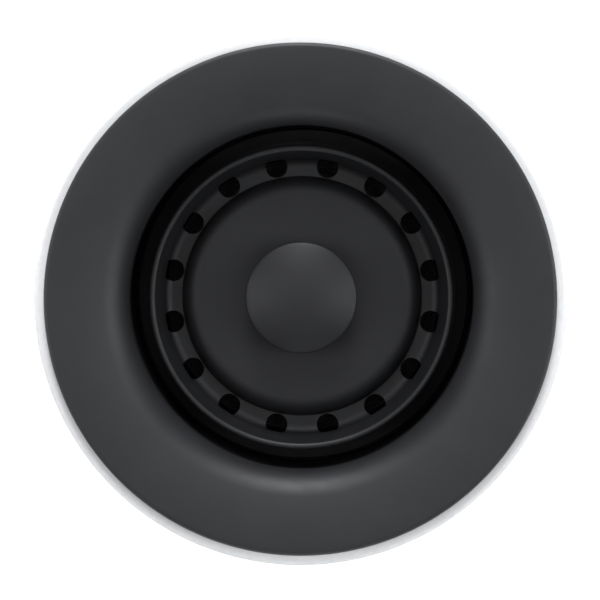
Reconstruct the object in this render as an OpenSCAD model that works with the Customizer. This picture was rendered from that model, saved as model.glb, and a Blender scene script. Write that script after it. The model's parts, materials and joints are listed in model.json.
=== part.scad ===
// Kitchen sink flange for a garbage disposal, with a lift-out strainer basket, a
// push-pull stopper and the three-screw clamp that holds the flange in the sink.
//
// Millimetres, +Z up, everything turned about the Z axis. z = 0 is the top of the
// sink deck, which is also the underside of the white rim gasket.

/* [Sink flange] */
// Inside diameter of the throat and the sleeve below it
throat_d = 78; // [64:0.5:96]
// Thickness of the flange's rim and of its sleeve
flange_wall = 2; // [1.6:0.1:2.6]
// Radius of the bend where the mouth turns down into the throat
mouth_r = 7; // [6:0.1:9]
// Radius of the shallow dish between the flat rim and that bend
dish_r = 40; // [34:0.5:48]
// Slope of the dish where it meets the bend, in degrees
dish_slope = 16; // [12:0.5:18]
// Width of the flat rim outside the dish
rim_flat = 2.05; // [1.6:0.05:4]
// How far the sleeve reaches below the sink deck
sleeve_len = 58; // [48:0.5:72]
// Depth of the ledge that the basket sits on, below the sink deck
ledge_depth = 36; // [35.5:0.5:40]
// How far that ledge stands in from the sleeve's wall
ledge_w = 2.8; // [2.2:0.1:3.4]
// Height of the ledge's straight edge
ledge_t = 2.2; // [1.6:0.1:3]

/* [Rim gasket] */
// How far the white gasket shows outside the flange
gasket_show = 2.35; // [1.8:0.05:3]
// Thickness of the white gasket
rim_gasket_t = 3; // [2:0.1:4]

/* [Clamp under the sink] */
// Thickness of the sink deck that the clamp is closed on
deck_t = 10; // [8:0.5:12]
// Thickness of the gasket against the sink's underside
under_gasket_t = 3; // [2:0.1:4]
// Thickness of the backup flange
backup_t = 3; // [2.5:0.1:4]
// Radial play of the backup flange and its gasket round the sleeve
clamp_play = 2.2; // [1.8:0.1:3]
// Depth of the mounting ring's top below the sink deck
ring_depth = 28; // [26:0.5:29]
// Thickness of the mounting ring's band
ring_t = 3; // [2.5:0.1:3.6]
// Diameter of the snap ring's wire
snap_wire_d = 2.4; // [2:0.1:2.8]

/* [Mounting screws] */
// Diameter over the screw's thread
screw_d = 6.35; // [5:0.05:8]
// Length of the screw from its tip to its head
screw_len = 32; // [28:0.5:34]
// Distance of the screws' circle outside the sleeve
screw_out = 9; // [8.5:0.1:11]
// Width across the flats of the screw's head
head_flats = 10; // [8:0.1:12]
// Height of the screw's head
head_h = 4.5; // [3.5:0.1:5.5]

/* [Basket] */
// Gap between the throat and the basket's lip
lip_gap = 4.4; // [3.5:0.1:6]
// Depth of the lip's top below the sink deck
lip_depth = 10.2; // [9:0.1:12]
// Diameter of the rolled lip
lip_roll_d = 1.5; // [1.4:0.1:2.2]
// Depth of the trough's floor below the lip's top
cup_depth = 9.6; // [8.5:0.1:10.5]
// Height of the centre disc above the trough's floor, also its shoulder's radius
disc_rise = 4; // [3:0.1:4.5]
// Width of the flat trough floor
trough_w = 2.2; // [1.8:0.1:3]
// Radius between the trough's floor and the cup's wall
trough_fillet = 2; // [1.5:0.1:2.5]
// Draft of the cup's wall, as the amount it opens out towards the lip
wall_draft = 1.8; // [1.2:0.1:2.2]
// Thickness of the cup's floor and disc
floor_t = 1.4; // [1.2:0.1:1.8]
// Thickness of the skirt below the cup
skirt_t = 1.2; // [1:0.1:1.6]
// Number of drain notches
notch_count = 16; // [10:1:20]
// Width of a drain notch
notch_w = 5; // [4:0.1:6]

/* [Stopper and knob] */
// How far the stopper lifts
stopper_travel = 4; // [3:0.1:4.4]
// Room left between the lifted stopper and the cup's floor
stop_room = 1; // [0.9:0.1:1.4]
// Thickness of the rubber stopper
seal_t = 3; // [2.5:0.1:3.4]
// Diameter of the knob's stem
stem_d = 6; // [5:0.1:7.2]
// Diameter of the knob
knob_d = 25.2; // [21:0.1:31]
// Height of the knob's straight edge
knob_edge = 2.4; // [1.8:0.1:3.2]
// Height of the knob's dome above its edge
dome_h = 2.6; // [1.5:0.1:3.2]
// Finger gap between the knob and the centre disc
finger_gap = 4.8; // [4.3:0.1:5.8]

/* [Clearances] */
// Radial clearance where the stem turns and slides
running = 0.05; // [0.02:0.01:0.09]
// Radial clearance of a screw in its tapped hole
thread_play = 0.08; // [0.05:0.01:0.1]
// Radial clearance of the basket's seat seal in the sleeve
seat_play = 0.5; // [0.4:0.05:0.8]
// Clearance where pieces of one assembly are fitted together
fit_gap = 0.05; // [0.02:0.01:0.1]

/* [Hidden] */
$fn = 96;
eps = 0.01;
// how far a cut reaches past what it cuts, and how far joined shapes reach into each other
over = 1;
join = 0.1;

// Sink flange
throat_r = throat_d / 2;
sleeve_r = throat_r + flange_wall;
rim_under = rim_gasket_t;
rim_top = rim_under + flange_wall;
bend_x = throat_r + mouth_r;
dish_x = bend_x + (dish_r - mouth_r) * sin(dish_slope);
dish_z = rim_top - dish_r;
mouth_z = dish_z + (dish_r - mouth_r) * cos(dish_slope);
flange_r = dish_x + rim_flat;
gasket_w = 8;
gasket_in_r = flange_r - gasket_w;
dish_in_r = dish_r - flange_wall;
gasket_in_h = dish_z + sqrt(pow(dish_in_r, 2) - pow(dish_x - gasket_in_r, 2)) - fit_gap;
foam_round = 0.7;
edge_round = flange_wall / 2;
sleeve_end_round = 0.6;
sleeve_z = sleeve_end_round - sleeve_len;
ledge_z = -ledge_depth;
ledge_r = throat_r - ledge_w;
groove_gap = 0.05;
snap_r = sleeve_r + 0.2;

// Clamp under the sink
clamp_in_r = sleeve_r + clamp_play;
screw_circle_r = sleeve_r + screw_out;
clamp_edge = 6.5;
clamp_out_r = screw_circle_r + clamp_edge;
rubber_round = 0.5;
under_gasket_z = -deck_t - under_gasket_t;
backup_z = under_gasket_z - backup_t;
tip_recess = 0.8;
recess_play = 0.4;
tip_z = backup_z + tip_recess;
ring_top = -ring_depth;
ring_under = ring_top - ring_t;
ring_in_r = sleeve_r + 0.3;
hole_wall = 0.45;
ring_out_r = screw_circle_r - screw_d / 2 - thread_play - hole_wall;
boss_r = 6.2;
boss_h = ring_t + 3;
lug_angle = 46;
lug_slope = 3;
lug_lift = 1.5;
lug_t = 4;
lug_from_screw = 60;
ramp_in = 0.2;
ramp_room = 20;
screw_r = screw_d / 2;
screw_angles = [90, 210, 330];
screw_tip_h = 1;
screw_tip_in = 0.8;
slot_w = 1.4;
slot_deep = 1.6;
snap_z = ring_under - snap_wire_d / 2;
snap_opening = 26;

// Basket
lip_r = throat_r - lip_gap;
lip_top = -lip_depth;
roll_r = lip_roll_d / 2;
lip_z = lip_top - roll_r;
cup_r = lip_r - 0.4;
wall_top_r = lip_r - lip_roll_d + 2 * join;
wall_foot_r = wall_top_r - wall_draft;
trough_out_r = wall_foot_r - trough_fillet;
disc_r = trough_out_r - trough_w;
trough_z = lip_top - cup_depth;
cup_under = trough_z - floor_t;
disc_top = trough_z + disc_rise;
disc_under = disc_top - floor_t;
skirt_in_r = cup_r - skirt_t;
notch_r = notch_w / 2;
notch_land = 0.25;
notch_circle_r = disc_r + notch_r + notch_land;
notch_top = trough_z + trough_fillet + 0.2;
skirt_room = 40;

// Stopper, closed on its seat
seal_top = cup_under - stopper_travel - stop_room;
seal_z = seal_top - seal_t;
skirt_play = 1.6;
seal_r = skirt_in_r - skirt_play;
rib_h = 0.4;
rib_w = 0.3;
rib_pitch = 0.62;
rib_count = 4;
rib_from_edge = 0.7;
seat_lip_w = 2;
seat_open_r = seal_r - 3.4;
hub_r = 7;
hub_plate_r = seat_open_r - 5;
hub_plate_t = 1.4;
hub_top = seal_top + hub_plate_t;
stopper_washer_r = seat_open_r - 2.5;
stopper_washer_t = 1.2;
hub_nut_h = 2.8;
hub_nut_r = hub_r + 4;
hub_nut_z = seal_z - stopper_washer_t - hub_nut_h;
hub_end = hub_nut_z - 0.6;

// Seat ring under the basket
seat_seal_t = 1.6;
seal_round = 0.3;
seat_ring_z = ledge_z + seat_seal_t;
seat_plate_t = 2;
seat_plate_top = seat_ring_z + seat_plate_t;
seat_seal_out_r = throat_r - seat_play;
seat_seal_in_r = ledge_r - 0.8;
seat_ring_r = seat_seal_out_r - 0.4;
spigot_h = 1.2;
collar_t = 1.2;
collar_h = 4.6;

// Stem, bush and knob
stem_r = stem_d / 2;
bore_r = stem_r + running;
bush_r = stem_r + 1.6;
bush_cap_r = stem_r + 3.5;
bush_cap_t = 1.2;
bush_nut_h = 2;
bush_nut_r = bush_r + 3.2;
bush_end = disc_under - bush_nut_h;
ring_wire_r = 0.5;
ring_groove_play = 0.1;
o_ring_r = stem_r + 0.03 + ring_wire_r;
o_ring_z = disc_top - 1.4;
knob_r = knob_d / 2;
knob_under = disc_top + finger_gap;
knob_edge_top = knob_under + knob_edge;
dome_r = (knob_r * knob_r + dome_h * dome_h) / (2 * dome_h);
knob_round = 0.4;
knob_socket_h = 2.6;
neck_r = stem_r + 1.8;
neck_h = 1.4;
collar_r = stem_r + 1.2;
stem_collar_t = 1;
stem_washer_r = stem_r + 3;
stem_washer_t = 0.8;
clip_t = 0.8;
clip_r = stem_r + 2;
clip_groove = 0.6;
clip_bite = 0.8;
stem_washer_z = hub_end - stem_washer_t;
clip_z = stem_washer_z - clip_t;
stem_end = clip_z - 1.4;
stem_top = knob_under + knob_socket_h - 0.1;

// Colours
black_coat = [0.055, 0.057, 0.062];
black_plastic = [0.045, 0.047, 0.05];
rubber_black = [0.025, 0.025, 0.027];
white_foam = [0.93, 0.94, 0.94];
zinc_steel = [0.68, 0.69, 0.7];
bright_steel = [0.78, 0.79, 0.8];
acetal = [0.85, 0.84, 0.8];

// A flat ring of rectangular section
module flat_ring(in_r, out_r, z, t) {
    translate([0, 0, z])
        difference() {
            cylinder(h = t, r = out_r);
            translate([0, 0, -over]) cylinder(h = t + 2 * over, r = in_r);
        }
}

// A flat ring whose edges are rounded by a radius
module soft_ring(in_r, out_r, z, t, round_r) {
    rotate_extrude()
        translate([in_r, z])
            soft_box(out_r - in_r, t, round_r);
}

// A rectangle with rounded corners, standing on the origin
module soft_box(w, h, round_r) {
    translate([round_r, 0]) square([w - 2 * round_r, h]);
    translate([0, round_r]) square([w, h - 2 * round_r]);
    for (x = [round_r, w - round_r], y = [round_r, h - round_r])
        translate([x, y]) circle(r = round_r, $fn = 32);
}

// A six-sided nut, given across its corners
module hex_nut(corner_r, hole_r, z, h) {
    translate([0, 0, z])
        difference() {
            cylinder(h = h, r = corner_r, $fn = 6);
            translate([0, 0, -over]) cylinder(h = h + 2 * over, r = hole_r);
        }
}

// Everything outside the throat and under the rim, up to a distance below the surface
module under_surface(inset) {
    far = 2 * flange_r;
    // the bend
    translate([bend_x, mouth_z]) circle(r = mouth_r - inset);
    // the shallow dish, on the outer side of the sloping line where it meets the bend
    intersection() {
        translate([dish_x, dish_z]) circle(r = dish_r - inset);
        translate([bend_x, mouth_z]) rotate(dish_slope) translate([0, -far]) square([far, 2 * far]);
    }
    // the flat rim
    translate([dish_x, mouth_z]) square([rim_flat, rim_top - inset - mouth_z]);
    // the sleeve
    translate([throat_r + inset, sleeve_z]) square([mouth_r - inset, mouth_z - sleeve_z]);
}

// Half section of the flange: rim, shallow dish, bend, sleeve and ledge
module flange_section() {
    intersection() {
        difference() {
            under_surface(0);
            under_surface(flange_wall);
        }
        polygon([
            [0, sleeve_z], [bend_x, sleeve_z], [bend_x, mouth_z], [flange_r - edge_round, mouth_z],
            [flange_r - edge_round, rim_top + over], [0, rim_top + over]
        ]);
    }
    // the rounded edges of the rim and of the sleeve's end
    translate([flange_r - edge_round, rim_under + edge_round]) circle(r = edge_round, $fn = 48);
    translate([throat_r + sleeve_end_round, -sleeve_len])
        square([flange_wall - 2 * sleeve_end_round, sleeve_end_round]);
    for (x = [throat_r + sleeve_end_round, sleeve_r - sleeve_end_round])
        translate([x, sleeve_z]) circle(r = sleeve_end_round, $fn = 32);
    // the ledge, sloped underneath
    polygon([
        [throat_r + eps, ledge_z], [ledge_r, ledge_z], [ledge_r, ledge_z - ledge_t],
        [throat_r + eps, ledge_z - ledge_t - ledge_w]
    ]);
}

module sink_flange() {
    color(black_coat)
        difference() {
            rotate_extrude($fn = 180) flange_section();
            // the snap ring's groove round the sleeve
            rotate_extrude()
                translate([snap_r, snap_z]) circle(r = snap_wire_d / 2 + groove_gap, $fn = 32);
        }
}

module rim_gasket() {
    color(white_foam)
        rotate_extrude($fn = 180)
            difference() {
                translate([gasket_in_r, 0])
                    soft_box(flange_r + gasket_show - gasket_in_r, rim_gasket_t, foam_round);
                // the sloping top that follows the underside of the dish
                polygon([
                    [gasket_in_r, gasket_in_h], [dish_x, rim_gasket_t],
                    [dish_x, rim_gasket_t + over], [gasket_in_r - over, rim_gasket_t + over],
                    [gasket_in_r - over, gasket_in_h]
                ]);
            }
}

// One of the three lugs that the disposal's own ring is turned on to
module ring_lug() {
    difference() {
        rotate_extrude(angle = lug_angle)
            translate([ring_out_r - join, ring_under])
                square([clamp_out_r - ring_out_r + join, lug_t]);
        // the sloped underside that draws the disposal up as it turns
        rotate([0, 0, lug_angle / 2])
            translate([ring_out_r + ramp_in, 0, ring_under + lug_lift])
                rotate([-lug_slope, 0, 0])
                    translate([0, -clamp_out_r, -ramp_room])
                        cube([clamp_out_r, 2 * clamp_out_r, ramp_room]);
    }
}

module mounting_ring() {
    color(zinc_steel)
        difference() {
            union() {
                flat_ring(ring_in_r, ring_out_r, ring_under, ring_t);
                for (a = screw_angles)
                    rotate([0, 0, a])
                        translate([screw_circle_r, 0, ring_under]) cylinder(h = boss_h, r = boss_r);
                for (a = screw_angles)
                    rotate([0, 0, a + lug_from_screw - lug_angle / 2]) ring_lug();
            }
            for (a = screw_angles)
                rotate([0, 0, a])
                    translate([screw_circle_r, 0, ring_under - over])
                        cylinder(h = boss_h + 2 * over, r = screw_r + thread_play);
        }
}

module snap_ring() {
    color(bright_steel)
        rotate([0, 0, snap_opening / 2])
            rotate_extrude(angle = 360 - snap_opening)
                translate([snap_r, snap_z]) circle(r = snap_wire_d / 2, $fn = 32);
}

module under_sink_gasket() {
    color(rubber_black)
        soft_ring(clamp_in_r, clamp_out_r, under_gasket_z, under_gasket_t, rubber_round);
}

module backup_flange() {
    color(zinc_steel)
        difference() {
            flat_ring(clamp_in_r, clamp_out_r, backup_z, backup_t);
            // blind recesses that the screws' tips turn in
            for (a = screw_angles)
                rotate([0, 0, a])
                    translate([screw_circle_r, 0, backup_z - over])
                        cylinder(h = tip_recess + over, r = screw_r + recess_play);
        }
}

// One mounting screw, standing on its head at its place on the circle
module mounting_screw(a) {
    color(bright_steel)
        rotate([0, 0, a])
            translate([screw_circle_r, 0, tip_z - screw_len]) {
                cylinder(h = screw_len - screw_tip_h, r = screw_r);
                translate([0, 0, screw_len - screw_tip_h])
                    cylinder(h = screw_tip_h, r1 = screw_r, r2 = screw_r - screw_tip_in);
                difference() {
                    translate([0, 0, -head_h]) cylinder(h = head_h, r = head_flats / sqrt(3), $fn = 6);
                    translate([-head_flats, -slot_w / 2, -head_h - over])
                        cube([2 * head_flats, slot_w, slot_deep + over]);
                }
            }
}

// What is open inside the cup: over the disc, round its shoulder and over the trough
module cup_inside() {
    translate([-over, disc_top]) square([disc_r + over + eps, lip_depth]);
    difference() {
        translate([disc_r - disc_rise, trough_z]) square([disc_rise + eps, disc_rise + eps]);
        translate([disc_r - disc_rise, trough_z]) circle(r = disc_rise);
    }
    polygon([
        [disc_r, trough_z + trough_fillet], [wall_foot_r, trough_z + trough_fillet],
        [wall_top_r, lip_z], [wall_top_r, lip_top + over], [disc_r, lip_top + over]
    ]);
    translate([disc_r, trough_z]) square([trough_w, trough_fillet + eps]);
    translate([trough_out_r, trough_z + trough_fillet]) circle(r = trough_fillet);
}

// What is open under the cup's floor, its raised disc and inside its skirt
module cup_underside() {
    translate([-over, cup_under - skirt_room]) square([skirt_in_r + over, skirt_room]);
    translate([-over, cup_under - eps]) square([disc_r - floor_t + over, trough_z - cup_under + eps]);
    translate([-over, trough_z - eps])
        square([disc_r - disc_rise + over, disc_under - trough_z + eps]);
    intersection() {
        translate([disc_r - disc_rise, trough_z]) circle(r = disc_rise - floor_t);
        translate([disc_r - disc_rise - over, trough_z - eps]) square(disc_rise + over);
    }
}

// Half section of the cup: lip, wall, trough, shoulder, disc and skirt
module cup_section() {
    difference() {
        union() {
            translate([lip_r - roll_r, lip_z]) circle(r = roll_r, $fn = 48);
            translate([0, seat_plate_top]) square([cup_r, lip_z - seat_plate_top]);
        }
        cup_inside();
        cup_underside();
    }
}

module basket_cup() {
    color(black_plastic)
        difference() {
            rotate_extrude($fn = 180) cup_section();
            // drain notches, cut from below up into the foot of the wall
            for (i = [0 : notch_count - 1])
                rotate([0, 0, (i + 0.5) * 360 / notch_count])
                    translate([notch_circle_r, 0, cup_under - over])
                        cylinder(h = notch_top - cup_under + over, r = notch_r, $fn = 48);
            // the bush's hole
            translate([0, 0, disc_under - over])
                cylinder(h = floor_t + 2 * over, r = bush_r + fit_gap);
        }
}

module seat_ring() {
    color(black_plastic)
        rotate_extrude() {
            // the plate on the seat seal, with a spigot that centres the seal
            translate([seat_open_r, seat_ring_z]) square([seat_ring_r - seat_open_r, seat_plate_t]);
            translate([seat_open_r, seat_ring_z - spigot_h])
                square([seat_seal_in_r - fit_gap - seat_open_r, spigot_h]);
            // the lip that the stopper closes on
            translate([seat_open_r, seat_plate_top]) square([seat_lip_w, seal_z - seat_plate_top]);
            // the collar round the skirt
            translate([cup_r + fit_gap, seat_plate_top]) square([collar_t, collar_h]);
        }
}

module seat_seal() {
    color(rubber_black)
        soft_ring(seat_seal_in_r, seat_seal_out_r, ledge_z, seat_seal_t, seal_round);
}

module stem_bush() {
    color(acetal)
        rotate_extrude()
            difference() {
                union() {
                    translate([bore_r, bush_end]) square([bush_r - bore_r, disc_top - bush_end]);
                    translate([bore_r, disc_top]) square([bush_cap_r - bore_r, bush_cap_t]);
                }
                // the O-ring's groove
                translate([bore_r - over, o_ring_z - ring_wire_r - ring_groove_play])
                    square([
                        o_ring_r + ring_wire_r + 2 * eps - bore_r + over,
                        2 * (ring_wire_r + ring_groove_play)
                    ]);
            }
}

module bush_nut() {
    color(acetal)
        hex_nut(bush_nut_r, bush_r + fit_gap, bush_end, bush_nut_h);
}

module bush_o_ring() {
    color(rubber_black)
        rotate_extrude()
            translate([o_ring_r, o_ring_z]) circle(r = ring_wire_r, $fn = 32);
}

module stopper_hub() {
    color(black_plastic)
        difference() {
            union() {
                translate([0, 0, seal_top]) cylinder(h = hub_plate_t, r = hub_plate_r);
                translate([0, 0, hub_end]) cylinder(h = seal_top - hub_end, r = hub_r);
            }
            translate([0, 0, hub_end - over])
                cylinder(h = hub_top - hub_end + 2 * over, r = bore_r);
        }
}

module stopper_seal() {
    color(rubber_black)
        rotate_extrude($fn = 180) {
            translate([hub_r + fit_gap, seal_z])
                soft_box(seal_r - hub_r - fit_gap, seal_t, rubber_round);
            for (i = [0 : rib_count - 1])
                translate([seal_r - rib_from_edge - i * rib_pitch - rib_w, seal_top - join])
                    square([rib_w, rib_h + join]);
        }
}

module stopper_washer() {
    color(bright_steel)
        flat_ring(hub_r + fit_gap, stopper_washer_r, seal_z - stopper_washer_t, stopper_washer_t);
}

module hub_nut() {
    color(acetal)
        hex_nut(hub_nut_r, hub_r + fit_gap, hub_nut_z, hub_nut_h);
}

module knob_cap() {
    color(black_plastic)
        difference() {
            union() {
                translate([0, 0, knob_under + knob_round])
                    cylinder(h = knob_edge - 2 * knob_round, r = knob_r);
                rotate_extrude()
                    translate([knob_r - knob_round - over, knob_under])
                        soft_box(over + knob_round, knob_edge, knob_round);
                translate([0, 0, knob_under]) cylinder(h = knob_edge, r = knob_r - knob_round);
                intersection() {
                    translate([0, 0, knob_edge_top + dome_h - dome_r]) sphere(r = dome_r, $fn = 180);
                    translate([0, 0, knob_edge_top - 2 * join])
                        cylinder(h = dome_h + over, r = knob_r - knob_round + join);
                }
            }
            // the socket that the stem screws into
            translate([0, 0, knob_under - over])
                cylinder(h = knob_socket_h + over, r = stem_r + fit_gap);
        }
}

module knob_stem() {
    color(bright_steel)
        difference() {
            union() {
                translate([0, 0, stem_end]) cylinder(h = stem_top - stem_end, r = stem_r);
                // the neck under the knob, and the collar on top of the hub
                translate([0, 0, knob_under - neck_h]) cylinder(h = neck_h, r = neck_r);
                translate([0, 0, hub_top + fit_gap]) cylinder(h = stem_collar_t, r = collar_r);
            }
            // the clip's groove
            flat_ring(stem_r - clip_groove, stem_r + over, clip_z - fit_gap, clip_t + fit_gap);
        }
}

module stem_washer() {
    color(bright_steel)
        flat_ring(stem_r + fit_gap, stem_washer_r, stem_washer_z - fit_gap, stem_washer_t);
}

module stem_clip() {
    color(bright_steel)
        difference() {
            flat_ring(stem_r - clip_groove + fit_gap, clip_r, clip_z - fit_gap, clip_t - fit_gap);
            // the mouth that the clip is pushed on through
            translate([0, clip_bite - stem_r, clip_z - over])
                cube([clip_r + over, 2 * (stem_r - clip_bite), clip_t + 2 * over]);
        }
}

sink_flange();
rim_gasket();
mounting_ring();
snap_ring();
under_sink_gasket();
backup_flange();
mounting_screw(screw_angles[0]);  // mounting_screw_1
mounting_screw(screw_angles[1]);  // mounting_screw_2
mounting_screw(screw_angles[2]);  // mounting_screw_3
basket_cup();
seat_ring();
seat_seal();
stem_bush();
bush_nut();
bush_o_ring();
stopper_hub();
stopper_seal();
stopper_washer();
hub_nut();
knob_cap();
knob_stem();
stem_washer();
stem_clip();
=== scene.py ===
import json
import math

import bmesh
import bpy
from mathutils import Matrix, Vector


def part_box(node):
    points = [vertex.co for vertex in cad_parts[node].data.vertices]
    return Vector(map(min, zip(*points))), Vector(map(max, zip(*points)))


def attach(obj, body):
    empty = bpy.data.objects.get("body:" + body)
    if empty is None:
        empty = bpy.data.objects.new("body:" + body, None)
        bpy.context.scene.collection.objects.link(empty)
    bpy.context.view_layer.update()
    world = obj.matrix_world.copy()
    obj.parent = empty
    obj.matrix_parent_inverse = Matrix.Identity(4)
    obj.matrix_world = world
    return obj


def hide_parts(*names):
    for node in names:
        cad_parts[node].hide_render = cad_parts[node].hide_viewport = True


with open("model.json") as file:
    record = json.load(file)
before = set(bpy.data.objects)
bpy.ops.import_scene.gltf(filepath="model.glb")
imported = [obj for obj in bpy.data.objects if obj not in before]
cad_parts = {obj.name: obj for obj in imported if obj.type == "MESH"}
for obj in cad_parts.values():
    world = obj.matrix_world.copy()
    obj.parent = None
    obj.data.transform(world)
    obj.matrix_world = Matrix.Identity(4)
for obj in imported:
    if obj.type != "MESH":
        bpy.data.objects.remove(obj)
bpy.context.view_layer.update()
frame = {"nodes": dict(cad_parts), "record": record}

MM = 0.001
FLANGE_LOW, FLANGE_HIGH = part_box("sink_flange")


# ---------------------------------------------------------------- materials

NOISE_LOW, NOISE_HIGH = 0.3, 0.7


class Nodes:
    """A material's node tree, with a short way to add and join its nodes."""

    def __init__(self, name):
        self.material = bpy.data.materials.new(name)
        self.material.use_nodes = True
        self.tree = self.material.node_tree
        self.shader = self.tree.nodes["Principled BSDF"]
        self.place = self.add("ShaderNodeTexCoord").outputs["Object"]

    def add(self, kind, inputs=None, **settings):
        """A new node, with its settings made and its inputs set or joined."""
        node = self.tree.nodes.new(kind)
        for key, value in settings.items():
            setattr(node, key, value)
        for key, value in (inputs or {}).items():
            if isinstance(value, bpy.types.NodeSocket):
                self.tree.links.new(value, node.inputs[key])
            else:
                node.inputs[key].default_value = value
        return node

    def noise(self, size_mm, detail=3.0, roughness=0.5):
        """Noise whose lumps are about size_mm across."""
        made = self.add("ShaderNodeTexNoise", {"Vector": self.place, "Scale": 1 / (size_mm * MM),
                                               "Detail": detail, "Roughness": roughness})
        return made.outputs["Fac"]

    def spread(self, value, low, high, at=(NOISE_LOW, NOISE_HIGH)):
        """value between at[0] and at[1], stretched to run from low to high."""
        made = self.add("ShaderNodeMapRange", {"Value": value, "From Min": at[0], "From Max": at[1],
                                               "To Min": low, "To Max": high})
        return made.outputs["Result"]

    def around(self, value, middle, reach):
        """value, stretched to run from reach below middle to reach above it."""
        return self.spread(value, middle - reach, middle + reach)

    def between(self, value, dark, light):
        """A colour that goes from dark to light with value."""
        made = self.add("ShaderNodeMix", {"Factor": self.spread(value, 0.0, 1.0),
                                          "A": (*dark, 1), "B": (*light, 1)}, data_type="RGBA")
        return made.outputs["Result"]

    def bump(self, height, depth_mm, strength, onto=None):
        """A bumped normal, on top of another one if onto is given."""
        inputs = {"Height": height, "Distance": depth_mm * MM, "Strength": strength}
        if onto is not None:
            inputs["Normal"] = onto
        return self.add("ShaderNodeBump", inputs).outputs["Normal"]

    def surface(self, **sockets):
        """Sets or joins the shader's own sockets, such as base_color or roughness."""
        for key, value in sockets.items():
            socket = self.shader.inputs[key.replace("_", " ").title()]
            if isinstance(value, bpy.types.NodeSocket):
                self.tree.links.new(value, socket)
            else:
                socket.default_value = (*value, 1) if isinstance(value, tuple) else value
        return self.material


def matte_black(name, base, roughness, grain_mm, grain_depth_mm):
    """A matte black coat or moulding: fine even grain, faint cloudiness in colour and gloss."""
    n = Nodes(name)
    dark = tuple(c * 0.88 for c in base)
    light = tuple(c * 1.12 for c in base)
    cloud = n.noise(size_mm=9.0, detail=4.0)
    gloss = n.noise(size_mm=3.5, detail=5.0)
    fine = n.bump(n.noise(grain_mm, detail=2.0), grain_depth_mm, strength=0.6)
    return n.surface(base_color=n.between(cloud, dark, light),
                     roughness=n.around(gloss, roughness, reach=0.03), normal=fine)


def rubber(name, base, roughness, pore_mm):
    """Rubber: dull, with a soft uneven skin."""
    n = Nodes(name)
    dark = tuple(c * 0.8 for c in base)
    light = tuple(c * 1.2 for c in base)
    cloud = n.noise(size_mm=2.5, detail=5.0)
    gloss = n.noise(size_mm=1.2)
    skin = n.bump(n.noise(pore_mm, detail=6.0, roughness=0.7), depth_mm=0.05, strength=0.5)
    return n.surface(base_color=n.between(cloud, dark, light),
                     roughness=n.around(gloss, roughness, reach=0.06), normal=skin)


def foam(name, dark, light, cell_mm):
    """The white gasket: closed-cell foam with tiny pits."""
    n = Nodes(name)
    grid = n.add("ShaderNodeTexVoronoi", {"Vector": n.place, "Scale": 1 / (cell_mm * MM)})
    cells = grid.outputs["Distance"]
    pits = n.bump(cells, depth_mm=0.05, strength=0.35)
    soft = n.bump(n.noise(size_mm=4.0), depth_mm=0.1, strength=0.3, onto=pits)
    return n.surface(base_color=n.between(n.noise(size_mm=1.5, detail=4.0), dark, light),
                     roughness=n.spread(cells, 0.7, 0.9, at=(0.0, 0.6)), normal=soft)


def steel(name, base, roughness, grain_mm, tint):
    """Plated or plain steel: metal with a cloudy finish, faint tint and fine scratches."""
    n = Nodes(name)
    cloud = n.noise(grain_mm, detail=6.0, roughness=0.65)
    tinted = tuple(a * b for a, b in zip(base, tint))
    scratch = n.bump(n.noise(size_mm=0.25, detail=8.0, roughness=0.8), depth_mm=0.01, strength=0.35)
    return n.surface(base_color=n.between(cloud, tinted, base), metallic=1.0,
                     roughness=n.around(cloud, roughness, reach=0.09), normal=scratch)


def acetal(name, dark, light):
    """Natural acetal: off-white, faintly waxy."""
    n = Nodes(name)
    skin = n.bump(n.noise(size_mm=0.4), depth_mm=0.02, strength=0.4)
    return n.surface(base_color=n.between(n.noise(size_mm=3.0), dark, light),
                     roughness=n.spread(n.noise(size_mm=1.0), 0.36, 0.46), normal=skin)


def floor_white(name, dark, light, glow):
    """The studio floor: white, glowing a little, with faint wide clouds."""
    n = Nodes(name)
    return n.surface(base_color=n.between(n.noise(size_mm=400.0), dark, light), roughness=0.8,
                     emission_color=(1.0, 1.0, 1.0), emission_strength=glow)


LOOKS = {
    "black_coat": matte_black("matte_black_coat", base=(0.0138, 0.0143, 0.0162), roughness=0.55,
                              grain_mm=0.16, grain_depth_mm=0.012),
    "black_plastic": matte_black("matte_black_plastic", base=(0.0062, 0.0065, 0.0076), roughness=0.54,
                                 grain_mm=0.22, grain_depth_mm=0.014),
    "black_rubber": rubber("black_rubber", base=(0.012, 0.012, 0.0125), roughness=0.72, pore_mm=0.5),
    "white_gasket": foam("white_foam", dark=(0.80, 0.81, 0.81), light=(0.86, 0.86, 0.85), cell_mm=0.55),
    "zinc_steel": steel("zinc_plate", base=(0.44, 0.45, 0.46), roughness=0.40, grain_mm=1.6,
                        tint=(1.0, 0.97, 0.90)),
    "bright_steel": steel("satin_steel", base=(0.52, 0.52, 0.53), roughness=0.30, grain_mm=3.0,
                          tint=(0.94, 0.95, 1.0)),
    "acetal": acetal("acetal", dark=(0.72, 0.70, 0.62), light=(0.80, 0.79, 0.73)),
}
SLOT_OF = {s["node"]: s["material_slot"] for s in frame["record"]["subparts"]}


def dress(piece, look):
    """Gives a piece one material in place of all it had."""
    piece.data.materials.clear()
    piece.data.materials.append(look)


for name, node in frame["nodes"].items():
    dress(node, LOOKS[SLOT_OF[name]])


# ---------------------------------------------------------------- building meshes

# edges sharper than this many degrees stay sharp
CREASE = 35.0
# metres within which two points are one, and millimetres within which a point is on the axis
WELD = 1e-8
ON_AXIS = 1e-9
# millimetres that a cutter starts outside the piece it cuts
OVERCUT = 1


def arc(x, z, radius, start, end, steps):
    """Points round (x, z), from one angle in degrees to another."""
    turn = [math.radians(start + (end - start) * i / steps) for i in range(steps + 1)]
    return [(x + radius * math.cos(a), z + radius * math.sin(a)) for a in turn]


def line(a, b, steps):
    """Points from a to b, without b itself."""
    return [(a[0] + (b[0] - a[0]) * i / steps, a[1] + (b[1] - a[1]) * i / steps) for i in range(steps)]


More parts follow.
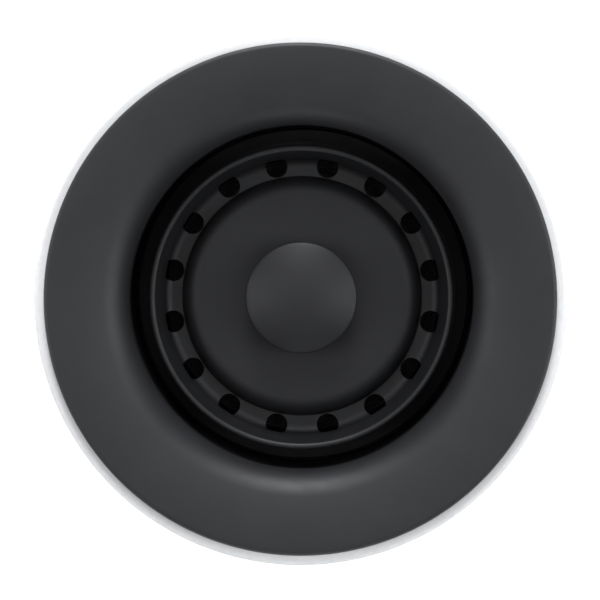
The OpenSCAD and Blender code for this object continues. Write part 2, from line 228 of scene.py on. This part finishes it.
def link(name, data):
    """A new object that holds data, in the scene."""
    made = bpy.data.objects.new(name, data)
    bpy.context.scene.collection.objects.link(made)
    return made


def smooth(mesh):
    """Smooth shading, but for the sharp edges."""
    mesh.shade_smooth()
    mesh.set_sharp_from_angle(angle=math.radians(CREASE))


def as_object(name, verts, faces):
    """A mesh object from points in millimetres."""
    mesh = bpy.data.meshes.new(name)
    mesh.from_pydata([(x * MM, y * MM, z * MM) for x, y, z in verts], [], faces)
    tidy = bmesh.new()
    tidy.from_mesh(mesh)
    bmesh.ops.remove_doubles(tidy, verts=tidy.verts, dist=WELD)
    bmesh.ops.recalc_face_normals(tidy, faces=tidy.faces)
    tidy.to_mesh(mesh)
    tidy.free()
    smooth(mesh)
    return link(name, mesh)


def lathe(name, outline, segments=256):
    """A turned piece from a closed outline of (radius, height) points in millimetres."""
    verts, faces = [], []
    count = len(outline)
    for i in range(segments):
        a = 2 * math.pi * i / segments
        verts += [(r * math.cos(a), r * math.sin(a), z) for r, z in outline]
    for i in range(segments):
        near, far = i * count, (i + 1) % segments * count
        for j in range(count):
            k = (j + 1) % count
            if outline[j][0] < ON_AXIS and outline[k][0] < ON_AXIS:
                continue
            faces.append((near + j, far + j, far + k, near + k))
    return as_object(name, verts, faces)


def tube_faces(rings, around):
    """Faces of a closed tube: quads between rings of points, and a cap on each end."""
    faces = []
    for i in range(rings - 1):
        for k in range(around):
            side = (k + 1) % around
            faces.append((i * around + k, i * around + side, (i + 1) * around + side, (i + 1) * around + k))
    return faces + [tuple(range(around))[::-1], tuple(range((rings - 1) * around, rings * around))]


def carve(piece, cutter):
    """piece with the cutter taken away from it."""
    cut = piece.modifiers.new("cut", "BOOLEAN")
    cut.operation, cut.solver, cut.object = "DIFFERENCE", "EXACT", cutter
    shaped = bpy.data.meshes.new_from_object(piece.evaluated_get(bpy.context.evaluated_depsgraph_get()))
    piece.modifiers.clear()
    piece.data = shaped
    bpy.data.objects.remove(cutter)
    smooth(shaped)
    return piece


def joined(name, parts):
    """Several (verts, faces) as one."""
    verts, faces = [], []
    for some, quads in parts:
        faces += [tuple(i + len(verts) for i in quad) for quad in quads]
        verts += some
    return as_object(name, verts, faces)


def finish_piece(piece, body, node):
    """Gives a piece its node's finish, and puts it on its body in that node's place."""
    dress(piece, LOOKS[SLOT_OF[node]])
    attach(piece, body)
    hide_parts(node)


# ---------------------------------------------------------------- the flange and its gasket

WALL = 2.0
THROAT_R = 39.0
SLEEVE_R = THROAT_R + WALL
BEND_R = 7.0
DISH_R = 40.0
DISH_SLOPE = 16.0
RIM_R = FLANGE_HIGH.x / MM
RIM_TOP = FLANGE_HIGH.z / MM
SLEEVE_END = FLANGE_LOW.z / MM
END_ROUND = 0.6
LEDGE_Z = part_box("seat_seal")[0].z / MM
LEDGE_R = THROAT_R - 2.8
LEDGE_T = 2.2
LEDGE_ROUND = 0.35
LEDGE_RAMP = 0.2
SNAP_LOW, SNAP_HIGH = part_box("snap_ring")
SNAP_Z = (SNAP_LOW.z + SNAP_HIGH.z) / 2 / MM
SNAP_WIRE = (SNAP_HIGH.z - SNAP_LOW.z) / 2 / MM
# the snap ring's middle lies this far outside the sleeve, in a groove that is this much wider
SNAP_OUT = 0.2
SNAP_R = SLEEVE_R + SNAP_OUT
GROOVE_R = SNAP_WIRE + 0.05
# how far the evenly divided straight runs keep from the round ones beside them
FROM_BEND, TO_LEDGE, FROM_LEDGE, FROM_END, FROM_GROOVE, TO_BEND = 2, 1, 8, 1.5, 1.6, 0.5


def flange_outline():
    """Half section of the flange, from the top of its rim inwards and down, then back up outside."""
    bend_x = THROAT_R + BEND_R
    slope = math.radians(DISH_SLOPE)
    dish_x = bend_x + (DISH_R - BEND_R) * math.sin(slope)
    dish_z = RIM_TOP - DISH_R
    bend_z = dish_z + (DISH_R - BEND_R) * math.cos(slope)
    half = WALL / 2
    ledge_in = LEDGE_R + LEDGE_ROUND
    ledge_under = LEDGE_Z - LEDGE_T
    end_z = SLEEVE_END + END_ROUND
    reach = math.degrees(math.acos(-SNAP_OUT / GROOVE_R))
    points = arc(RIM_R - half, RIM_TOP - half, half, -90, 90, 14)
    points += arc(dish_x, dish_z, DISH_R, 90, 90 + DISH_SLOPE, 16)
    points += arc(bend_x, bend_z, BEND_R, 90 + DISH_SLOPE, 180, 36)[1:]
    points += line((THROAT_R, bend_z - FROM_BEND), (THROAT_R, LEDGE_Z + TO_LEDGE), 8)
    points += arc(THROAT_R - LEDGE_ROUND, LEDGE_Z + LEDGE_ROUND, LEDGE_ROUND, 0, -90, 4)
    points += arc(ledge_in, LEDGE_Z - LEDGE_ROUND, LEDGE_ROUND, 90, 180, 5)
    points += arc(ledge_in, ledge_under + LEDGE_ROUND, LEDGE_ROUND, 180, 225, 3)
    points += [(THROAT_R, ledge_under - (THROAT_R - LEDGE_R) - LEDGE_RAMP)]
    points += line((THROAT_R, LEDGE_Z - FROM_LEDGE), (THROAT_R, SLEEVE_END + FROM_END), 5)
    points += arc(THROAT_R + END_ROUND, end_z, END_ROUND, 180, 270, 6)
    points += arc(SLEEVE_R - END_ROUND, end_z, END_ROUND, -90, 0, 6)
    points += line((SLEEVE_R, SLEEVE_END + FROM_END), (SLEEVE_R, SNAP_Z - FROM_GROOVE), 5)
    points += arc(SNAP_R, SNAP_Z, GROOVE_R, -reach, -360 + reach, 16)
    points += line((SLEEVE_R, SNAP_Z + FROM_GROOVE), (SLEEVE_R, bend_z - TO_BEND), 6)
    points += arc(bend_x, bend_z, BEND_R - WALL, 180, 90 + DISH_SLOPE, 24)
    points += arc(dish_x, dish_z, DISH_R - WALL, 90 + DISH_SLOPE, 90, 10)[1:]
    return points


GASKET_W = 8.0
GASKET_IN_TOP = 2.45
GASKET_IN_ROUND = 0.7
GASKET_OUT_ROUND = 1.1
GASKET_CHAMFER_W, GASKET_CHAMFER_H = 0.2, 0.3
# its top slopes under the dish up to this far inside the flange's edge
GASKET_SLOPE_END = 2.0
# how far the evenly divided straight runs keep from its round outside and inside
FROM_OUTSIDE, FROM_INSIDE = 0.2, 1.5


def gasket_outline():
    """Half section of the foam ring: sloping on top where the dish presses it, fuller where it shows."""
    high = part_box("rim_gasket")[1]
    outer, top = high.x / MM, high.z / MM
    inner = RIM_R - GASKET_W
    flat_end = outer - GASKET_OUT_ROUND - FROM_OUTSIDE
    points = arc(inner + GASKET_IN_ROUND, GASKET_IN_ROUND, GASKET_IN_ROUND, 270, 180, 6)
    points += [(inner, GASKET_IN_TOP - GASKET_CHAMFER_H), (inner + GASKET_CHAMFER_W, GASKET_IN_TOP)]
    points += line((RIM_R - GASKET_SLOPE_END, top), (flat_end, top), 8)
    points += arc(outer - GASKET_OUT_ROUND, top - GASKET_OUT_ROUND, GASKET_OUT_ROUND, 90, 0, 12)
    points += arc(outer - GASKET_OUT_ROUND, GASKET_OUT_ROUND, GASKET_OUT_ROUND, 0, -90, 12)
    points += line((flat_end, 0), (inner + FROM_INSIDE, 0), 6)
    return points


finish_piece(lathe("flange_shell", flange_outline()), "flange", "sink_flange")
finish_piece(lathe("foam_ring", gasket_outline()), "flange", "rim_gasket")


# ---------------------------------------------------------------- the basket's cup

LIP_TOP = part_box("basket_cup")[1].z / MM
LIP_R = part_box("basket_cup")[1].x / MM
ROLL_R = 0.75
CUP_R = LIP_R - 0.4
WALL_TOP_R = LIP_R - 1.3
WALL_FOOT_R = WALL_TOP_R - 1.8
TROUGH_FILLET = 2.0
TROUGH_OUT_R = WALL_FOOT_R - TROUGH_FILLET
DISC_R = TROUGH_OUT_R - 2.2
TROUGH_Z = LIP_TOP - 9.6
DISC_RISE = 4.0
DISC_TOP = TROUGH_Z + DISC_RISE
FLOOR_T = 1.4
CUP_UNDER = TROUGH_Z - FLOOR_T
SKIRT_IN_R = CUP_R - 1.2
SKIRT_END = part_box("basket_cup")[0].z / MM
SKIRT_ROUND = 0.3
BUSH_HOLE_R = 4.65
NOTCHES = 16
NOTCH_R = 2.5
NOTCH_CIRCLE_R = DISC_R + NOTCH_R + 0.25
NOTCH_TOP = TROUGH_Z + TROUGH_FILLET + 0.2
# how far the evenly divided straight runs keep from their ends
RUN_ROOM = 1
SHOULDER_ROOM, WALL_ROOM, UNDER_LIP, SKIRT_ROOM = 0.15, 0.1, 1.2, 0.8


def cup_outline():
    """Half section of the cup: disc, shoulder, trough, wall, rolled lip, skirt and back underneath."""
    shoulder_x = DISC_R - DISC_RISE
    lip_z = LIP_TOP - ROLL_R
    skirt_z = SKIRT_END + SKIRT_ROUND
    fillet_z = TROUGH_Z + TROUGH_FILLET
    under_disc_r = DISC_R - FLOOR_T
    lean = math.degrees(math.atan2(WALL_TOP_R - WALL_FOOT_R, lip_z - TROUGH_Z - TROUGH_FILLET))
    points = [(BUSH_HOLE_R, DISC_TOP)]
    points += line((BUSH_HOLE_R + RUN_ROOM, DISC_TOP), (shoulder_x - RUN_ROOM, DISC_TOP), 10)
    points += arc(shoulder_x, TROUGH_Z, DISC_RISE, 90, 3, 20)
    points += line((DISC_R + SHOULDER_ROOM, TROUGH_Z), (TROUGH_OUT_R, TROUGH_Z), 4)
    points += arc(TROUGH_OUT_R, fillet_z, TROUGH_FILLET, -90, -lean, 12)
    wall_foot = (WALL_FOOT_R + WALL_ROOM, fillet_z + RUN_ROOM)
    wall_top = (WALL_TOP_R - WALL_ROOM, lip_z - RUN_ROOM)
    points += line(wall_foot, wall_top, 6)
    points += arc(LIP_R - ROLL_R, lip_z, ROLL_R, 172, -48, 28)
    points += line((CUP_R, lip_z - UNDER_LIP), (CUP_R, SKIRT_END + SKIRT_ROOM), 14)
    points += arc(CUP_R - SKIRT_ROUND, skirt_z, SKIRT_ROUND, 0, -90, 4)
    points += arc(SKIRT_IN_R + SKIRT_ROUND, skirt_z, SKIRT_ROUND, 270, 180, 4)
    points += line((SKIRT_IN_R, SKIRT_END + SKIRT_ROOM), (SKIRT_IN_R, CUP_UNDER), 8)
    points += [(SKIRT_IN_R, CUP_UNDER)]
    points += line((SKIRT_IN_R - RUN_ROOM, CUP_UNDER), (under_disc_r, CUP_UNDER), 3)
    points += [(under_disc_r, CUP_UNDER)]
    points += arc(shoulder_x, TROUGH_Z, DISC_RISE - FLOOR_T, 0, 90, 10)
    points += [(BUSH_HOLE_R, DISC_TOP - FLOOR_T)]
    return points


def rod(x, y, radius, low, high, sides=48):
    """An upright round cutter, as points and faces."""
    turn = [2 * math.pi * i / sides for i in range(sides)]
    ring = [(x + radius * math.cos(a), y + radius * math.sin(a)) for a in turn]
    verts = [(*p, low) for p in ring] + [(*p, high) for p in ring]
    faces = [tuple(range(sides))[::-1], tuple(range(sides, 2 * sides))]
    faces += [(i, (i + 1) % sides, sides + (i + 1) % sides, sides + i) for i in range(sides)]
    return verts, faces


def strainer_cup():
    """The cup with its drain notches cut through the trough."""
    turns = [2 * math.pi * (i + 0.5) / NOTCHES for i in range(NOTCHES)]
    rods = [rod(NOTCH_CIRCLE_R * math.cos(a), NOTCH_CIRCLE_R * math.sin(a), NOTCH_R, CUP_UNDER - OVERCUT,
                NOTCH_TOP)
            for a in turns]
    notch_tools = joined("notch_tools", rods)
    return carve(lathe("strainer_cup", cup_outline(), segments=288), notch_tools)


finish_piece(strainer_cup(), "basket", "basket_cup")


# ---------------------------------------------------------------- knob and stopper

KNOB_LOW, KNOB_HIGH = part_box("knob_cap")
KNOB_EDGE = 2.4
KNOB_ROUND = 0.5
SOCKET_R, SOCKET_DEEP = 3.05, 2.6
# the dome stops this far inside the edge, and this many degrees short, to leave room for the rounding
DOME_INSET, DOME_SHORT = 0.3, 0.8


def knob_outline():
    """Half section of the knob: low dome, softened edge, and the stem's socket underneath."""
    radius, low, top = KNOB_HIGH.x / MM, KNOB_LOW.z / MM, KNOB_HIGH.z / MM
    dome = top - low - KNOB_EDGE
    reach = radius - DOME_INSET
    dome_r = (reach * reach + dome * dome) / (2 * dome)
    last = math.degrees(math.asin(reach / dome_r))
    points = [(0, top)] + arc(0, top - dome_r, dome_r, 90, 90 - last + DOME_SHORT, 30)[1:]
    points += arc(radius - KNOB_ROUND, low + KNOB_EDGE - KNOB_ROUND, KNOB_ROUND, 60, 0, 6)
    points += arc(radius - KNOB_ROUND, low + KNOB_ROUND, KNOB_ROUND, 0, -90, 6)
    points += [(SOCKET_R, low), (SOCKET_R, low + SOCKET_DEEP), (0, low + SOCKET_DEEP)]
    return points


SEAL_LOW, SEAL_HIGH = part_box("stopper_seal")
SEAL_BORE_R = 7.05
SEAL_ROUND = 0.5
RIBS = 4
RIB_H = 0.4
RIB_FROM_EDGE, RIB_PITCH = 0.85, 0.62
RIB_FOOT, RIB_NECK, RIB_NECK_H, RIB_TIP_R = 0.22, 0.15, 0.12, 0.14


def stopper_outline():
    """Half section of the stopper's rubber: a soft-edged washer with sealing ribs on top."""
    radius = SEAL_HIGH.x / MM
    low, rib_top = SEAL_LOW.z / MM, SEAL_HIGH.z / MM
    top = rib_top - RIB_H
    bore_in, edge_in = SEAL_BORE_R + SEAL_ROUND, radius - SEAL_ROUND
    points = arc(bore_in, low + SEAL_ROUND, SEAL_ROUND, 270, 180, 5)
    points += arc(bore_in, top - SEAL_ROUND, SEAL_ROUND, 180, 90, 5)
    for i in reversed(range(RIBS)):
        middle = radius - RIB_FROM_EDGE - RIB_PITCH * i
        points += [(middle - RIB_FOOT, top), (middle - RIB_NECK, top + RIB_NECK_H)]
        points += arc(middle, rib_top - RIB_TIP_R, RIB_TIP_R, 180, 0, 6)
        points += [(middle + RIB_NECK, top + RIB_NECK_H), (middle + RIB_FOOT, top)]
    points += arc(edge_in, top - SEAL_ROUND, SEAL_ROUND, 90, 0, 6)
    points += arc(edge_in, low + SEAL_ROUND, SEAL_ROUND, 0, -90, 6)
    return points


finish_piece(lathe("knob_dome", knob_outline(), segments=192), "knob", "knob_cap")
finish_piece(lathe("stopper_rubber", stopper_outline(), segments=192), "stopper", "stopper_seal")


# ---------------------------------------------------------------- screws and snap ring

SCREW_R = 6.35 / 2
SCREW_PITCH = 1.27
SCREW_CIRCLE_R = SLEEVE_R + 9.0
SCREW_ANGLES = (90, 210, 330)
SCREW_SIDES = 48
RINGS_PER_TURN = 10
THREAD_DEEP = 0.62
# shares of half a pitch that the thread's flat crest and its sloping flank take
CREST, FLANK = 0.12, 0.76
THREAD_RUN_OUT = 2.0
TIP_CHAMFER = 0.8
HEAD_FLATS = 10.0
HEAD_H = 4.5
# heights above the head's end, or below its neck, and the radius that cuts the hexagon's corners there
HEAD_CUTS = ((0, 5.05), (0.35, 5.45), (0.7, 5.9))
NECK_CUTS = ((-0.3, 5.9), (0, 5.6))
SLOT_W, SLOT_DEEP = 1.4, 1.6


def thread_ring(z, neck, tip):
    """Radii of the thread round the screw at one height, with its run-out and chamfered tip."""
    ring = []
    for k in range(SCREW_SIDES):
        wave = abs(((z / SCREW_PITCH - k / SCREW_SIDES) % 1.0) * 2 - 1)
        depth = THREAD_DEEP * min(1.0, max(0.0, (wave - CREST) / FLANK))
        depth *= min(1.0, (z - neck) / THREAD_RUN_OUT)
        ring.append((min(SCREW_R - depth, SCREW_R - TIP_CHAMFER + max(0.0, tip - z)), z))
    return ring


def head_ring(z, limit):
    """Radii of the hexagon head at one height, with its corners cut to limit."""
    ring = []
    for k in range(SCREW_SIDES):
        a = (k / SCREW_SIDES * 360) % 60 - 30
        ring.append((min(HEAD_FLATS / 2 / math.cos(math.radians(a)), limit), z))
    return ring


def slot_tool(x, y, low):
    """The cutter for the slot across a screw's head, along the line to the middle of the sleeve."""
    turn = math.atan2(y, x)
    long, wide = HEAD_FLATS, SLOT_W / 2
    corners = [(-long, -wide), (long, -wide), (long, wide), (-long, wide)]
    placed = [(x + c * math.cos(turn) - d * math.sin(turn), y + c * math.sin(turn) + d * math.cos(turn))
              for c, d in corners]
    box = [(*p, low - OVERCUT) for p in placed] + [(*p, low + SLOT_DEEP) for p in placed]
    sides = [(0, 3, 2, 1), (4, 5, 6, 7), (0, 1, 5, 4), (1, 2, 6, 5), (2, 3, 7, 6), (3, 0, 4, 7)]
    return as_object("slot_tool", box, sides)


def screw_mesh(name, x, y, tip, low):
    """A mounting screw: cut thread up to a chamfered tip, and a chamfered hex head below with a slot."""
    neck = low + HEAD_H
    steps = int((tip - neck) / SCREW_PITCH * RINGS_PER_TURN)
    rows = [head_ring(low + up, limit) for up, limit in HEAD_CUTS]
    rows += [head_ring(neck + up, limit) for up, limit in NECK_CUTS]
    rows += [thread_ring(neck + (tip - neck) * i / steps, neck, tip) for i in range(steps + 1)]
    verts = []
    for ring in rows:
        for k, (r, z) in enumerate(ring):
            a = 2 * math.pi * k / SCREW_SIDES
            verts.append((x + r * math.cos(a), y + r * math.sin(a), z))
    piece = as_object(name, verts, tube_faces(len(rows), SCREW_SIDES))
    return carve(piece, slot_tool(x, y, low))


for number, angle in enumerate(SCREW_ANGLES, start=1):
    node = f"mounting_screw_{number}"
    low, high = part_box(node)
    a = math.radians(angle)
    screw = screw_mesh(f"clamp_screw_{number}", SCREW_CIRCLE_R * math.cos(a), SCREW_CIRCLE_R * math.sin(a),
                       high.z / MM, low.z / MM)
    finish_piece(screw, f"screw_{number}", node)


WIRE_OPENING = 26.0
WIRE_SIDES, WIRE_STATIONS = 24, 200
WIRE_TIP_ANGLES = (8, 30, 60)


def snap_wire():
    """The sprung wire ring in the sleeve's groove, open at one side, with rounded ends."""
    span = math.radians(360 - WIRE_OPENING)
    start = math.radians(WIRE_OPENING / 2)
    tip = SNAP_WIRE / SNAP_R
    ends = [(tip * (1 - math.cos(math.radians(t))), math.sin(math.radians(t))) for t in WIRE_TIP_ANGLES]
    stations = [(start + far, share) for far, share in ends]
    stations += [(start + tip + (span - 2 * tip) * i / WIRE_STATIONS, 1.0) for i in range(WIRE_STATIONS + 1)]
    stations += [(start + span - far, share) for far, share in reversed(ends)]
    verts = []
    for a, share in stations:
        for k in range(WIRE_SIDES):
            b = 2 * math.pi * k / WIRE_SIDES
            r = SNAP_R + SNAP_WIRE * share * math.cos(b)
            verts.append((r * math.cos(a), r * math.sin(a), SNAP_Z + SNAP_WIRE * share * math.sin(b)))
    return as_object("snap_wire", verts, tube_faces(len(stations), WIRE_SIDES))


finish_piece(snap_wire(), "flange", "snap_ring")


# ---------------------------------------------------------------- camera

AIM = Vector((0, 0, FLANGE_HIGH.z))
FAR = 0.80
LEAN_EAST, LEAN_NORTH = 1.1, 2.2
SEEN_WIDTH = 0.1333
SENSOR = 36.0

camera = link("camera", bpy.data.cameras.new("camera"))
camera.data.sensor_width = SENSOR
camera.data.lens = SENSOR * FAR / SEEN_WIDTH
camera.data.clip_start, camera.data.clip_end = 0.01, 20
sight = Vector((math.tan(math.radians(LEAN_EAST)), math.tan(math.radians(LEAN_NORTH)), 1)).normalized()
camera.location = AIM + sight * FAR
right = Vector((0, 1, 0)).cross(sight).normalized()
camera.rotation_mode = "QUATERNION"
camera.rotation_quaternion = Matrix((right, sight.cross(right), sight)).transposed().to_quaternion()
bpy.context.scene.camera = camera


# ---------------------------------------------------------------- stage and lights

FLOOR_HALF = 3.0
DAYLIGHT = (0.965, 0.972, 1.0)
WORLD_STRENGTH = 0.10
BOX_SIZE, BOX_FAR = 0.5, 1.3
# direction round the object, and the height above the horizon and power of each softbox of the light tent
TENT = (
    ("north", 90, ((15, 10.7), (32, 7.5), (48, 0.7), (64, 0.8))),
    ("south", -90, ((20, 3.6), (65, 0.5))),
    ("east", 0, ((20, 3.6), (38, 3.9), (55, 1.5), (70, 0.7))),
    ("west", 180, ((20, 2.5), (38, 2.6), (55, 1.5), (70, 0.7))),
)


def studio_floor():
    """A wide white floor under the sleeve's end, that glows a little, as a lit table does."""
    corners = [(-1, -1), (1, -1), (1, 1), (-1, 1)]
    mesh = bpy.data.meshes.new("floor")
    mesh.from_pydata([(x * FLOOR_HALF, y * FLOOR_HALF, FLANGE_LOW.z) for x, y in corners], [], [(0, 1, 2, 3)])
    floor = link("floor", mesh)
    dress(floor, floor_white("floor_white", dark=(0.88, 0.88, 0.88), light=(0.90, 0.90, 0.90), glow=0.6))


def softbox(name, direction, power):
    """A square soft light that faces the middle of the rim from a direction."""
    light = bpy.data.lights.new(name, "AREA")
    light.shape = "SQUARE"
    light.size = BOX_SIZE
    light.energy = power
    light.color = DAYLIGHT
    made = link(name, light)
    way = Vector(direction).normalized()
    made.location = AIM + way * BOX_FAR
    made.rotation_mode = "QUATERNION"
    made.rotation_quaternion = way.to_track_quat("Z", "Y")


studio_floor()
for side, degrees, boxes in TENT:
    for height, power in boxes:
        flat, up = math.cos(math.radians(height)), math.sin(math.radians(height))
        way = (flat * math.cos(math.radians(degrees)), flat * math.sin(math.radians(degrees)), up)
        softbox(f"{side}_{height}", way, power)

world = bpy.data.worlds.new("studio")
world.use_nodes = True
world.node_tree.nodes["Background"].inputs["Color"].default_value = (*DAYLIGHT, 1)
world.node_tree.nodes["Background"].inputs["Strength"].default_value = WORLD_STRENGTH
bpy.context.scene.world = world
bpy.context.scene.view_settings.view_transform = "Standard"
